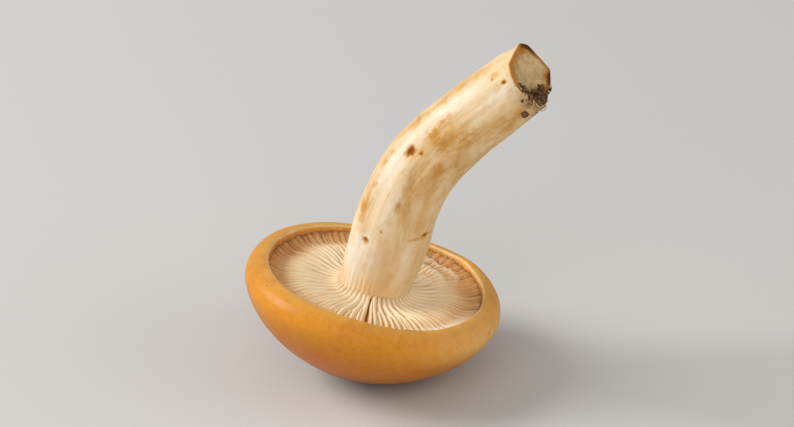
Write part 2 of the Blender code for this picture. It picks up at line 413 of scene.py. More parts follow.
def tube_faces(count, stations, ring):
    """Faces of count tubes with that many stations and points round them: sides and both ends."""
    loop = np.arange(ring)[None]
    parts = ring_faces(stations, ring), loop[:, ::-1], loop + (stations - 1) * ring
    return [many(part, count, stations * ring) for part in parts]


POLES = np.array(((0.0, 0.0, -1.0), (0.0, 0.0, 1.0)))


def unit_ball(rows, columns):
    """Points of a ball with a radius of 1, in rows from below and without its two POLES."""
    polar = np.linspace(math.pi, 0.0, rows + 2)[1:-1, None]
    turn = np.arange(columns) * math.tau / columns
    return stacked(np.sin(polar) * np.cos(turn), np.sin(polar) * np.sin(turn), np.cos(polar))


# Finishes


class Field:
    """A number that varies over a surface. Maths on it adds Math nodes to its finish."""

    def __init__(self, finish, socket):
        self.finish = finish
        self.socket = socket

    def __add__(self, other):
        return self.finish.maths("ADD", self, other)

    __radd__ = __add__

    def __sub__(self, other):
        return self.finish.maths("SUBTRACT", self, other)

    def __rsub__(self, other):
        return self.finish.maths("SUBTRACT", other, self)

    def __mul__(self, other):
        return self.finish.maths("MULTIPLY", self, other)

    __rmul__ = __mul__


class Finish:
    """A material while it is being made, on one Principled surface."""

    def __init__(self, name, **fixed):
        self.material = bpy.data.materials.new(name)
        self.material.use_nodes = True
        self.tree = self.material.node_tree
        self.surface = self.tree.nodes["Principled BSDF"]
        for socket, value in fixed.items():
            self.surface.inputs[socket.replace("_", " ")].default_value = value
        self.place = self.node("ShaderNodeTexCoord").outputs["Object"]

    def node(self, kind, settings=None, values=None):
        """Adds a node of that kind: settings first, then a value or a link for each socket."""
        made = self.tree.nodes.new(kind)
        for key, value in (settings or {}).items():
            setattr(made, key, value)
        for key, value in (values or {}).items():
            self.feed(made.inputs[key], value)
        return made

    def feed(self, socket, value):
        """Sets a socket to a value, or links a field or another node's socket to it."""
        if isinstance(value, Field):
            value = value.socket
        if isinstance(value, bpy.types.NodeSocket):
            self.tree.links.new(socket, value)
        elif isinstance(value, tuple) and socket.type == "RGBA":
            socket.default_value = (*value, 1.0)
        else:
            socket.default_value = value

    def maths(self, operation, *terms):
        made = self.node("ShaderNodeMath", {"operation": operation}, dict(enumerate(terms)))
        return Field(self, made.outputs[0])

    def attributes(self, *names):
        """A field for each of the mesh's values per point that is named."""
        nodes = [self.node("ShaderNodeAttribute", {"attribute_name": name}) for name in names]
        return [Field(self, made.outputs["Fac"]) for made in nodes]

    def direction(self, name):
        return self.node("ShaderNodeAttribute", {"attribute_name": name}).outputs["Vector"]

    def noise(self, size, detail=2.0, roughness=0.5, where=None, stretch=(1.0, 1.0, 1.0)):
        """Noise from 0 to 1 whose lumps are about size across, and longer along a low stretch."""
        spread = self.node(
            "ShaderNodeMapping",
            {"vector_type": "POINT"},
            {"Vector": where or self.place, "Scale": tuple(s / size for s in stretch)},
        )
        made = self.node(
            "ShaderNodeTexNoise",
            {"noise_dimensions": "3D"},
            {"Vector": spread.outputs[0], "Scale": 1.0, "Detail": detail, "Roughness": roughness},
        )
        return Field(self, made.outputs[0])

    def dots(self, size):
        """Distance to the nearest of many scattered points a size apart, 0 at each point."""
        made = self.node(
            "ShaderNodeTexVoronoi", {"feature": "F1"}, {"Vector": self.place, "Scale": 1.0 / size},
        )
        return Field(self, made.outputs["Distance"])

    def ramp(self, value, low, high, least=0.0, most=1.0):
        """least where value is low, most where it is high, and a smooth step between."""
        made = self.node(
            "ShaderNodeMapRange",
            {"interpolation_type": "SMOOTHSTEP"},
            {"Value": value, 1: low, 2: high, 3: least, 4: most},
        )
        return Field(self, made.outputs[0])

    def layered(self, colour, *layers):
        """The colour with each layer's colour laid over it by the layer's share, in turn."""
        settings = {"data_type": "RGBA", "clamp_factor": True}
        for over, share in layers:
            made = self.node("ShaderNodeMix", settings, {0: share, 6: colour, 7: over})
            colour = made.outputs[2]
        return colour

    def relief(self, height, distance):
        """Feeds the surface's normal with a bump whose full height is the distance."""
        bump = self.node("ShaderNodeBump", None, {"Height": height, "Distance": distance})
        self.feed(self.surface.inputs["Normal"], bump.outputs[0])

    def wear(self, **sockets):
        """Feeds the surface's own sockets, named with _ for a blank, and returns the material."""
        for socket, value in sockets.items():
            self.feed(self.surface.inputs[socket.replace("_", " ")], value)
        return self.material


def amber_skin():
    """Cap skin: deep amber crown, lighter to the rim, a pale line on the lip, fine mottling. The
    crown's darkness is partly its own and partly painted shade where it rests on the floor. The
    inside of the margin is partly painted shade, and a lighter patch at the front right is painted
    light.
    """
    skin = Finish(
        "amber_skin", Subsurface_Weight=0.06, Subsurface_Scale=0.0008,
        Subsurface_Radius=(1.0, 0.42, 0.12), Coat_Roughness=0.27, Specular_IOR_Level=0.1,
    )
    from_lip, blush_and_warm_shade, painted_light_front_right, mark = skin.attributes("from_lip", "blush_and_warm_shade", "painted_light_front_right", "mark")
    clouds = skin.noise(0.0046, 3.0, 0.55)
    mottle = skin.noise(0.0012, 4.0, 0.65)
    grains = skin.noise(0.00048, 3.0, 0.65)
    pores = skin.dots(0.00062)
    lines = skin.noise(0.0005, 3.0, 0.6, skin.direction("belt"))

    band = skin.layered(
        (0.72, 0.35, 0.085),
        # darker just inside the margin: partly its own orange-brown, partly painted shade under
        # the lip
        ((0.52, 0.215, 0.055), skin.ramp(from_lip + clouds, 1.0, 2.4)),
        ((0.82, 0.5, 0.21), skin.ramp(lines, 0.5, 0.72) * 0.55),
        ((0.36, 0.13, 0.03), skin.ramp(lines, 0.46, 0.28) * 0.45),
        ((0.6, 0.36, 0.16), skin.ramp(from_lip, 3.6, 5.2)),
    )
    near_rim = skin.ramp(from_lip, -6.0, -0.5)
    pale = skin.ramp(from_lip + (mottle - 0.5) * 0.4, -0.02, 0.22)
    pale = pale * skin.ramp(from_lip, 0.62, 0.34)
    colour = skin.layered(
        # darker towards the crown: partly the cap's own darker middle, partly painted shade where
        # the cap rests on the floor
        (0.26, 0.068, 0.004),
        ((0.56, 0.19, 0.01), skin.ramp(from_lip, -22.0, -9.5)),
        ((0.71, 0.285, 0.022), skin.ramp(from_lip + clouds * 3.0, -8.5, -2.0)),
        ((0.78, 0.43, 0.105), skin.ramp(from_lip + clouds, -2.2, 0.5) * 0.8),
        ((0.5, 0.145, 0.008), skin.ramp(clouds, 0.46, 0.74) * 0.42),
        ((0.76, 0.31, 0.022), skin.ramp(mottle, 0.5, 0.72) * 0.36),
        ((0.48, 0.135, 0.007), skin.ramp(mottle, 0.5, 0.28) * 0.28),
        ((0.47, 0.14, 0.007), skin.ramp(grains, 0.46, 0.32) * 0.24),
        ((0.8, 0.35, 0.034), skin.ramp(grains, 0.55, 0.7) * 0.22),
        ((0.4, 0.105, 0.006), skin.ramp(pores, 0.2, 0.05) * 0.1),
        ((0.84, 0.44, 0.1), near_rim * skin.ramp(lines, 0.52, 0.75) * 0.35),
        # lighter patch near the margin at the front right: painted light
        ((0.88, 0.52, 0.17), painted_light_front_right * skin.ramp(mottle, 0.2, 0.7, 0.45, 0.75)),
        # redder patches: partly the cap's own reddish bloom at the front left, partly painted warm
        # shade towards the bottom
        ((0.64, 0.17, 0.03), blush_and_warm_shade * skin.ramp(mottle, 0.25, 0.6, 0.5, 0.9)),
        ((0.15, 0.045, 0.01), mark),
        (band, skin.ramp(from_lip + (clouds - 0.5) * 0.4, 0.3, 0.62)),
        ((0.89, 0.66, 0.35), pale * skin.ramp(clouds, 0.35, 0.65, 0.55, 0.9)),
    )

    inside = skin.ramp(from_lip, -0.2, 0.8)
    skin.relief(mottle * 0.4 + grains * 0.4 + skin.ramp(pores, 0.05, 0.3) * 0.2, 0.00009)
    return skin.wear(
        Base_Color=colour,
        Roughness=skin.ramp(mottle, 0.3, 0.7, 0.44, 0.56) + inside * 0.15,
        Coat_Weight=(1.0 - inside) * skin.ramp(clouds, 0.3, 0.7, 0.16, 0.3),
    )


def gill_flesh():
    """Gills: pale cream free edges, tanner with depth and amber brown towards the margin. The tan
    and brown of the furrows, the warm tan at the right and part of the margin's brown are painted
    shade. The paler crests, rows and front-right band are painted light.
    """
    flesh = Finish(
        "gill_flesh", Subsurface_Weight=0.15, Subsurface_Scale=0.0005,
        Subsurface_Radius=(1.0, 0.85, 0.7), Specular_IOR_Level=0.15,
    )
    depth, tint, outward, inward, painted_light_front_band, painted_warm_shade_right, ripple = flesh.attributes(
        "depth", "tint", "outward", "inward", "painted_light_front_band", "painted_warm_shade_right", "ripple",
    )
    mottle = flesh.noise(0.0009, 3.0, 0.6)
    streaks = flesh.noise(0.003, 2.0, 0.5)
    colour = flesh.layered(
        (0.95, 0.73, 0.45),
        # tanner with depth: painted shade in the furrows between the gills
        ((0.86, 0.52, 0.205), flesh.ramp(depth, 0.05, 0.45)),
        ((0.84, 0.57, 0.29), tint * 0.35),
        # tanner on the right side: painted warm shade on the shaded side of the gills
        ((0.8, 0.5, 0.21), painted_warm_shade_right),
        # paler crests in the middle ring: painted light on the crests
        ((0.96, 0.82, 0.6), inward * flesh.ramp(depth, 0.5, 0.1) * 0.7),
        ((0.96, 0.82, 0.6), flesh.ramp(mottle, 0.5, 0.75) * 0.3),
        ((0.82, 0.52, 0.24), flesh.ramp(streaks, 0.5, 0.8) * 0.4),
        # amber brown towards the margin: partly the gills' own colour, partly painted shade under
        # the lip, left out at the lit front right
        ((0.64, 0.29, 0.085), outward * flesh.ramp(mottle, 0.2, 0.7, 0.65, 0.95)),
        # paler band near the lip at the front right: painted light
        ((0.96, 0.87, 0.7), painted_light_front_band * 0.85),
        # paler on the raised rows and tanner in the dips: painted light and painted shade of the
        # ripples
        ((0.96, 0.8, 0.56), flesh.ramp(ripple, 0.05, 0.75) * 0.8),
        ((0.62, 0.31, 0.11), flesh.ramp(ripple, -0.1, -0.8) * 0.75),
        # dark brown deep down: painted shade in the open furrow and the deepest ones
        ((0.6, 0.25, 0.06), flesh.ramp(depth, 0.5, 0.9) * 0.95),
    )
    flesh.relief(mottle, 0.00003)
    return flesh.wear(Base_Color=colour, Roughness=flesh.ramp(mottle, 0.2, 0.8, 0.62, 0.8))


def stem_flesh():
    """Stem: cream fibres, tan patches, brown spots, and a greyish tan cut end with dark edges. The
    tan under the bend, in the folds, along the crease and at the root is painted shade. The whiter
    streaks down the front left are a painted highlight.
    """
    flesh = Finish(
        "stem_flesh", Subsurface_Weight=0.08, Subsurface_Scale=0.0005,
        Subsurface_Radius=(1.0, 0.75, 0.5), Coat_Roughness=0.35, Specular_IOR_Level=0.12,
    )
    straight = flesh.direction("straight")
    tan_patch_and_shade, pale, spot, groove = flesh.attributes("tan_patch_and_shade", "pale", "spot", "groove")
    foot, cut, scorched, dirt = flesh.attributes("foot", "cut", "scorched", "dirt")
    fibres = flesh.noise(0.00042, 3.0, 0.6, straight, (1.0, 1.0, 0.075))
    threads = flesh.noise(0.0002, 2.0, 0.6, straight, (1.0, 1.0, 0.05))
    strands = flesh.noise(0.0015, 3.0, 0.55, straight, (1.0, 1.0, 0.11))
    flecks = flesh.noise(0.0006, 2.0, 0.5, straight, (1.0, 1.0, 0.33))
    clouds = flesh.noise(0.005, 3.0, 0.55, straight, (1.0, 1.0, 0.45))
    blurs = flesh.noise(0.0017, 3.0, 0.55, straight, (1.0, 1.0, 0.55))
    mottle = flesh.noise(0.0008, 4.0, 0.6)
    specks = flesh.dots(0.0017)

    face = flesh.layered(
        (0.74, 0.51, 0.26),
        ((0.52, 0.38, 0.185), flesh.ramp(blurs, 0.36, 0.62) * 0.8),
        ((0.42, 0.25, 0.1), flesh.ramp(mottle, 0.46, 0.72) * 0.55),
        ((0.78, 0.62, 0.4), flesh.ramp(mottle, 0.46, 0.28) * 0.4),
    )
    uneven = blurs * 0.5 + fibres * 0.25 + mottle * 0.25
    # tan patches: partly the stem's own blotches, partly painted shade on the underside of the
    # bend
    tan_and_shade = tan_patch_and_shade * flesh.ramp(uneven, 0.38, 0.58, 0.52, 1.12)
    halo = flesh.ramp(spot + (mottle - 0.5) * 0.4, 0.08, 0.45) * 0.8
    core = flesh.ramp(spot + (mottle - 0.5) * 0.8, 0.42, 0.85)
    stained = scorched + (mottle - 0.5) * 0.3
    colour = flesh.layered(
        (0.77, 0.52, 0.25),
        ((0.86, 0.67, 0.4), flesh.ramp(clouds, 0.38, 0.62)),
        ((0.7, 0.41, 0.15), flesh.ramp(strands, 0.5, 0.76) * 0.42),
        # whiter streaks: a painted highlight down the front left, elsewhere the stem's own paler
        # streaks
        ((0.93, 0.875, 0.78), pale * flesh.ramp(strands, 0.3, 0.62, 1.0, 0.6)),
        ((0.9, 0.78, 0.57), flesh.ramp(fibres, 0.5, 0.7) * 0.36),
        ((0.7, 0.44, 0.18), flesh.ramp(blurs, 0.5, 0.68) * (1.0 - pale * 0.7) * 0.42),
        ((0.62, 0.35, 0.13), flesh.ramp(threads, 0.56, 0.74) * 0.24),
        ((0.64, 0.33, 0.09), flesh.ramp(flecks, 0.62, 0.72) * 0.28),
        # tan near the root: painted shade where the stem meets the gills
        ((0.78, 0.52, 0.26), foot * 0.3),
        # tanner in the long folds: painted shade in the grooves
        ((0.6, 0.35, 0.125), groove * flesh.ramp(fibres, 0.2, 0.7, 0.25, 0.75)),
        # tan patches: partly the stem's own blotches, partly painted shade under the bend
        ((0.73, 0.43, 0.145), tan_and_shade * 0.9),
        ((0.56, 0.255, 0.045), flesh.ramp(tan_and_shade, 0.25, 1.0) * 0.85),
        ((0.48, 0.23, 0.06), flesh.ramp(specks, 0.085, 0.03) * 0.4),
        ((0.61, 0.27, 0.03), halo),
        ((0.24, 0.062, 0.001), core * 0.95),
        (face, cut),
        ((0.5, 0.215, 0.04), flesh.ramp(stained, 0.02, 0.55)),
        ((0.11, 0.038, 0.008), flesh.ramp(stained, 0.5, 1.0)),
        ((0.17, 0.11, 0.055), dirt * flesh.ramp(mottle, 0.32, 0.62, 0.25, 1.0)),
    )

    flesh.relief(fibres * 0.45 + threads * 0.25 + mottle * 0.3 + cut * mottle * 0.6, 0.00013)
    rough = flesh.ramp(fibres, 0.2, 0.8, 0.46, 0.64) + cut * 0.25 + dirt * 0.2 + core * 0.3
    shine = (1.0 - cut) * (1.0 - halo) * flesh.ramp(clouds, 0.4, 0.65, 0.03, 0.1)
    return flesh.wear(Base_Color=colour, Roughness=rough, Coat_Weight=shine)


def shred_flesh():
    """Torn fibres: dirty cream, browner in places."""
    shred = Finish("shred_flesh", Specular_IOR_Level=0.15)
    mottle = shred.noise(0.0007, 3.0, 0.6)
    brown = shred.ramp(mottle, 0.42, 0.68)
    colour = shred.layered((0.7, 0.48, 0.25), ((0.24, 0.13, 0.055), brown))
    shred.relief(mottle, 0.00003)
    return shred.wear(Base_Color=colour, Roughness=shred.ramp(mottle, 0.3, 0.7, 0.55, 0.8))


def dark_soil():
    """Soil: near-black crumbs with brown and a few pale grains, quite matt."""
    soil = Finish("dark_soil", Specular_IOR_Level=0.25)
    clods = soil.noise(0.0009, 4.0, 0.65)
    grit = soil.noise(0.00022, 3.0, 0.7)
    motes = soil.dots(0.00035)
    colour = soil.layered(
        (0.078, 0.036, 0.014),
        ((0.24, 0.125, 0.052), soil.ramp(clods, 0.4, 0.66)),
        ((0.36, 0.26, 0.17), soil.ramp(grit, 0.56, 0.74) * 0.6),
        ((0.52, 0.42, 0.3), soil.ramp(motes, 0.18, 0.08) * 0.5),
    )
    soil.relief(clods * 0.5 + grit * 0.5, 0.00025)
    return soil.wear(Base_Color=colour, Roughness=soil.ramp(grit, 0.3, 0.7, 0.8, 0.98))


# Cap


def skin_section():
    """Half section of the skin, from beside the crown round the lip to beside the axis inside.

    The dome, a quarter ellipse out to the lip's top, a quarter ellipse into the opening, the
    straight wall of the rolled margin, and the flesh over the gills. It gives radius, height
    and the way along the section from the lip's top, below 0 outside and above 0 inside.
    """
    rise = np.linspace(0.0, math.pi / 2, 82)[1:]
    dome = CAP_RADIUS * np.sin(rise), dome_height(rise)
    turn = np.linspace(0.0, math.pi / 2, 37)[1:]
    margin = (
        LIP_RADIUS + (CAP_RADIUS - LIP_RADIUS) * np.cos(turn),
        WIDEST_HEIGHT + (CAP_HEIGHT - WIDEST_HEIGHT) * np.sin(turn),
    )
    turn = np.linspace(0.0, math.pi / 2, 11)[1:]
    lip = (
        LIP_RADIUS - (LIP_RADIUS - OPENING_RADIUS) * np.sin(turn),
        CAP_HEIGHT - LIP_DROP * (1.0 - np.cos(turn)),
    )
    down = np.linspace(0.0, 1.0, 25)[1:]
    wall = (
        OPENING_RADIUS + (GROOVE_RADIUS - OPENING_RADIUS) * down,
        CAP_HEIGHT - LIP_DROP + (GROOVE_HEIGHT - CAP_HEIGHT + LIP_DROP) * down,
    )
    reach = np.linspace(GROOVE_RADIUS, 0.0012, 13)[1:]
    roof = reach, flesh_height(reach)
    radius, height = (np.concatenate(parts) for parts in zip(dome, margin, lip, wall, roof))
    steps = np.hypot(np.diff(radius), np.diff(height))
    way = np.concatenate([[0.0], np.cumsum(steps)])
    top = len(dome[0]) + len(margin[0]) - 1
    return radius, height, way - way[top]


def flesh_height(radius):
    """Height of the flesh over the gills: level over the root, then rising to the groove."""
    share = part_way(radius, ROOT_RADIUS, GROOVE_RADIUS)
    return ROOT_HEIGHT + (GROOVE_HEIGHT - ROOT_HEIGHT) * share**1.8


# Dents and marks of the skin: angle round the cap, way from the lip in mm, radius and depth in mm
SKIN_DENTS = (
    (-128.0, -8.0, 2.2, 0.1),
    (-60.0, -5.0, 1.8, 0.08),
    (35.0, -9.0, 2.6, 0.12),
    (120.0, -6.0, 2.0, 0.1),
    (170.0, -11.0, 2.4, 0.1),
    (75.0, -16.0, 2.0, 0.08),
)
SKIN_MARKS = (
    (-24.0, -3.8, 0.34, 0.55),
    (-35.0, -5.6, 0.26, 0.35),
    (62.0, -4.4, 0.36, 0.5),
    (148.0, -7.5, 0.32, 0.5),
    (98.0, -11.0, 0.28, 0.4),
    (-168.0, -9.0, 0.24, 0.35),
    (20.0, -12.5, 0.3, 0.45),
)


def section_place(angle_degrees, from_lip_mm, radius, height, from_lip):
    """The point of the turned skin at that angle and way from the lip."""
    angle = math.radians(angle_degrees)
    r = np.interp(from_lip_mm * MM, from_lip, radius)
    h = np.interp(from_lip_mm * MM, from_lip, height)
    return np.array((r * math.cos(angle), r * math.sin(angle), h))


def make_skin():
    """The skin and the flesh inside it: the half section turned round, then grown uneven.

    Each point moves along the section's normal by slow lumps, fine lumps, small radial folds
    near the margin and a few dents, and the lip's height wanders a little round the cap.
    """
    radius, height, from_lip = skin_section()
    columns = 400
    angle = np.arange(columns) * math.tau / columns
    slope_r, slope_h = np.gradient(radius, from_lip), np.gradient(height, from_lip)
    size = np.hypot(slope_r, slope_h)
    out_r, out_h = (slope_h / size)[:, None], (-slope_r / size)[:, None]
    r, h, way = radius[:, None], height[:, None], from_lip[:, None]
    plain = stacked(r * np.cos(angle), r * np.sin(angle), h)

    outside = smooth(-way, -0.0004, 0.0012)
    near_lip = hump(way, 0.0, 0.0016)
    near_margin = smooth(way, -0.0075, -0.0012) * smooth(-way, -0.001, 0.0006)
    folds = round_lumps(angle, 96, 11) * 0.6 + round_lumps(angle, 210, 12) * 0.4
    move = outside * (0.055 * lumps(plain, 0.0052, 1) + 0.02 * lumps(plain, 0.0018, 2)) * MM
    move = move + near_margin * 0.02 * folds * MM
    move = move + (1.0 - outside) * 0.035 * lumps(plain, 0.0011, 3) * MM
    for turn, where, wide, deep in SKIN_DENTS:
        gap = np.linalg.norm(plain - section_place(turn, where, radius, height, from_lip), axis=-1)
        move = move - deep * MM * hump(gap, 0.0, wide * MM)
    move = move - 0.02 * MM
    hold = smooth(np.broadcast_to(r, move.shape), 0.0, 0.004)
    move = move * hold
    wander = near_lip * (0.1 * round_lumps(angle, 22, 21) + 0.05 * round_lumps(angle, 64, 22)) * MM
    inward = hump(way, 0.0004, 0.0009) * 0.09 * round_lumps(angle, 30, 23) * MM
    reach = r + out_r * move - inward
    grid = stacked(reach * np.cos(angle), reach * np.sin(angle), h + out_h * move + wander)

    mark = np.zeros(move.shape)
    for turn, where, wide, strength in SKIN_MARKS:
        gap = np.linalg.norm(plain - section_place(turn, where, radius, height, from_lip), axis=-1)
        mark = np.maximum(mark, strength * hump(gap, 0.0, wide * MM))
    # redder patches low on the cap: partly its own bloom at the front left, partly painted warm
    # shade towards the bottom
    blush_and_warm_shade = 0.8 * hump(around(angle, -118.0), 0.0, 0.38) * hump(way, -0.0135, 0.0042)
    behind = around(angle, math.degrees(0.9))
    blush_and_warm_shade = blush_and_warm_shade + 0.5 * hump(behind, 0.0, 0.4) * hump(way, -0.014, 0.005)
    # painted light: a lighter patch near the margin at the front right
    painted_light_front_right = hump(around(angle, -30.0), 0.0, 0.5) * hump(way, -0.0042, 0.0036)

    start = np.array((0.0, 0.0, 0.0))
    end = np.array((0.0, 0.0, ROOT_HEIGHT))
    points, groups = closed_sheet(grid, start, end)
    points = laid_down(grown(points))
    points[:, 2] = np.maximum(points[:, 2], 0.0)

    belt = stacked(BELT_RADIUS * np.cos(angle), BELT_RADIUS * np.sin(angle), way * BELT_STRETCH)
    from_lip = np.broadcast_to(way / MM, move.shape)
    fields = {
        "from_lip": with_poles(from_lip, from_lip[0, 0], from_lip[-1, 0]),
        "blush_and_warm_shade": with_poles(blush_and_warm_shade),
        "painted_light_front_right": with_poles(painted_light_front_right),
        "mark": with_poles(mark),
        "belt": np.vstack([belt.reshape(-1, 3), belt[:1, 0], belt[-1:, 0]]),
    }
    piece = new_piece("cap_skin", points, groups, fields, amber_skin())
    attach(piece, "root")
    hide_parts("cap")
    return piece


# Gills


def gill_edge_height(radius):
    """Height of the gills' free edges: a low swell between the stem and the groove."""
    share = part_way(radius, GILL_INNER_RADIUS, GILL_OUTER_RADIUS)
    ends = GILL_EDGE_AT_STEM + (GILL_EDGE_AT_LIP - GILL_EDGE_AT_STEM) * share
    swell = GILL_EDGE_SWELL - (GILL_EDGE_AT_STEM + GILL_EDGE_AT_LIP) / 2
    return ends + swell * np.sin(math.pi * share**1.3)


def make_gills():
    """Gills of three lengths as one mesh, each a rounded crest whose sides slope into the furrows.

    A gill is a row of stations along its radius, and each station is a ring of six points:
    foot, shoulder and crest on one side, and crest, shoulder and foot on the other. The slope
    from shoulder to foot runs on past the middle of the furrow, below the neighbour's slope.
    A short gill rises from under the furrow's floor over its first few mm. Outside, all gills
    climb the margin to the lip. Neighbours sway together, by lumps that are wider than their
    spacing, and at the crumpled side their crests rise and fall in rows that run round the cap.
    """
    rng = np.random.default_rng(46)
    count = 4 * FULL_GILLS
    step = math.tau / count
    index = np.arange(count)
    kind = np.choose(index % 4, (0, 2, 1, 2))
    angle = SLOT_ANGLE + (index - 1) * step + rng.uniform(-0.14, 0.14, count) * step
    half_starts, short_starts = (rng.uniform(*ends, count) for ends in ((6.4, 8.8), (10.2, 13.4)))
    starts = np.choose(kind, (np.full(count, 4.7), half_starts, short_starts))
    sinks = [rng.uniform(*ends, count) for ends in ((0.0, 0.12), (0.04, 0.18), (0.1, 0.28))]
    sinks = np.choose(kind, sinks)
    thick = np.choose(kind, (0.205, 0.175, 0.135)) * rng.uniform(0.85, 1.15, count)
    rises = np.choose(kind, (0.5, 2.6, 2.0))
    tint = rng.uniform(0.0, 1.0, count) ** 2
    after = rng.uniform(0.75, 1.16, count)
    after[:5] = (2.0, 2.0, 1.8, 1.8, 1.3)  # deeper furrows at the open one
    before = np.roll(after, 1)
    starts[2], rises[2] = 4.9, 0.5  # the half gill beside it reaches the stem
    angle[0], angle[2] = angle[0] - 0.9 * step, angle[2] + 0.6 * step
    angle[-1] = angle[-1] - 0.5 * step
    kept = (index != 1) & (index != 3)
    values = (index, kind, angle, starts, sinks, thick, rises, tint, after, before)
    values = (v[kept][:, None] for v in values)
    index, kind, angle, starts, sinks, thick, rises, tint, after, before = values

    share = np.linspace(0.0, 1.0, 13)
    share = share * (1.35 - 0.35 * share)
    reach = (starts + (GILL_END - starts) * share) * MM
    along = reach / MM - starts
    web = 0.24 + 0.25 * np.sin(math.pi * np.clip((reach / MM - 5.0) / 11.8, 0.0, 1.0))
    web = web * (0.76 + 0.34 * hump(around(angle, -72.0), 0.0, 0.75))
    top = gill_edge_height(reach) - sinks * MM
    top = top + 0.7 * MM * np.exp(-np.maximum(reach - 0.005, 0.0) / 0.0017)
    top = top + 1.0 * MM * np.exp(-np.maximum(reach - 0.005, 0.0) / 0.00045)
    lift = 0.25 + 0.3 * np.cos(angle - math.radians(30.0))
    top = top + lift * MM * smooth(reach, 0.009, 0.014)
    circle = stacked(np.cos(angle), np.sin(angle), 0.0)
    climb = 2.0 + 0.16 * lumps(circle * 3.0, 1.0, 34) + 0.12 * lumps(circle * 19.0, 1.0, 36)
    top = top + climb * MM * smooth(reach, 0.0136, 0.0172) ** 1.25
    serial = np.arange(len(angle))[:, None] * 1.7
    ragged = stacked(reach / 0.0011, serial, 0.5 * serial)
    top = top + 0.05 * MM * lumps(ragged, 1.0, 31)

    middle = stacked(reach * np.cos(angle), reach * np.sin(angle), 0.0)
    crumple = smooth(np.cos(angle - CRUMPLE_ANGLE), 0.7, 0.95) * smooth(reach, 0.0086, 0.0118)
    crumple = crumple * smooth(0.0166 - reach, 0.0, 0.0016)
    drift = 2.2 * lumps(circle * 2.6, 1.0, 37)
    rows = np.sin(math.tau * reach / 0.0026 + drift + 1.2 * lumps(middle, 0.004, 38))
    top = top + crumple * (0.34 + 0.3 * rows) * MM
    sway = (0.05 + 0.28 * crumple) * MM * lumps(middle, 0.0026, 32)
    sway = sway + 0.03 * MM * lumps(ragged * 0.35, 1.0, 33)
    grow = np.where(kind == 0, 1.0, smooth(along, 0.0, rises))
    top = top - (1.0 - grow) * (web + 0.34) * MM

    half = thick * MM * (0.62 + 0.38 * grow)
    filled = smooth(reach, 0.0102, 0.013)
    full_gap = math.tau * reach / FULL_GILLS
    spread = np.choose(kind, (full_gap * (0.5 - 0.22 * filled), full_gap * 0.27, full_gap * 0.14))
    spread = np.maximum(spread, half * 1.3) + (0.12 + 0.16 * crumple) * MM
    sway = sway * smooth(along, 0.0, 1.5) * smooth(GILL_END - reach / MM, 0.0, 0.9)
    shoulder = top - np.minimum(0.16, 0.45 * web * np.minimum(after, before)) * MM
    slot_side = (1.85 * step + 0.001) * reach
    slot_after, slot_before = index == 0, index == 2
    wide_after, wide_before = (
        half + (np.where(slot, slot_side, spread) - half) * RUN_ON
        for slot in (slot_after, slot_before)
    )
    low_after, low_before = (
        shoulder - (shoulder - top + web * depth * MM) * RUN_ON for depth in (after, before)
    )
    across = stacked(
        sway * 0.7 + wide_after, sway + half, sway + half * 0.55,
        sway - half * 0.55, sway - half, sway * 0.7 - wide_before,
    )
    level = stacked(low_after, shoulder, top, top, shoulder, low_before)
    away = reach[..., None]
    turned = angle[..., None]
    points = stacked(
        away * np.cos(turned) - across * np.sin(turned),
        away * np.sin(turned) + across * np.cos(turned),
        level,
    )
    ring = points.shape[2]
    groups = tube_faces(*points.shape[:3])

    deep = (top[..., None] - level) / MM
    facing = around(angle, -56.0)
    # painted light: a paler band on the gills near the lip at the front right
    painted_light_front_band = hump(facing, 0.0, 0.56) * smooth(reach, 0.0138, 0.0152)
    # browner towards the margin: partly the gills' own colour, partly painted shade under the lip,
    # weaker at the lit front right
    outer = smooth(reach + 0.0006 * lumps(circle * 6.0, 1.0, 39), 0.0116, 0.016)
    outer = outer * (1.0 - 0.85 * hump(facing, 0.0, 0.6))
    # painted warm shade: the gills right of the stem are tanned where shade falls
    painted_warm_shade_right = 0.5 * hump(around(angle, -6.0), 0.0, 0.75) * smooth(reach, 0.0065, 0.01)

    def per_point(values):
        return np.broadcast_to(values[..., None], deep.shape)

    fields = {
        "depth": deep,
        "tint": per_point(tint),
        "outward": per_point(outer),
        # inward: paler crests in the middle ring, a painted light
        "inward": per_point(hump(reach, 0.0088, 0.0034)),
        "painted_light_front_band": per_point(painted_light_front_band),
        "painted_warm_shade_right": per_point(painted_warm_shade_right),
        # ripple: painted light on the raised rows and painted shade in the dips
        "ripple": per_point(crumple * rows),
    }
    points = laid_down(grown(points))
    undersides = np.arange(ring - 1, len(groups[0]), ring)
    piece = new_piece("gill_plates", points, groups, fields, gill_flesh(), flat=undersides)
    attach(piece, "root")
    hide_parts("gills")
    return piece


# Stem


def stem_middle(knot):
    """Point, direction and radius of the middle line at a knot number, by a smooth cubic."""
    spans = len(STEM_ROUTE) - 1
    before, after = 2 * STEM_ROUTE[0] - STEM_ROUTE[1], 2 * STEM_ROUTE[-1] - STEM_ROUTE[-2]
    knots = np.vstack([before, STEM_ROUTE, after])
    knot = np.clip(knot, 0.0, spans - 1e-9)
    index = knot.astype(int)
    t = (knot - index)[..., None]
    a, b, c, d = (knots[index + shift] for shift in range(4))
    first, second, third = c - a, 2 * a - 5 * b + 4 * c - d, 3 * b - a - 3 * c + d
    line = 0.5 * (2 * b + first * t + second * t**2 + third * t**3)
    run = 0.5 * (first + 2 * second * t + 3 * third * t**2)[..., :3]
    return line[..., :3], unit(run), line[..., 3]


def stem_ways():
    """Knot numbers and the way along the middle line from its root at each, in mm."""
    knot = np.linspace(0.0, len(STEM_ROUTE) - 1, 1801)
    line = stem_middle(knot)[0]
    steps = np.linalg.norm(np.diff(line, axis=0), axis=1)
    return knot, np.concatenate([[0.0], np.cumsum(steps)]) / MM


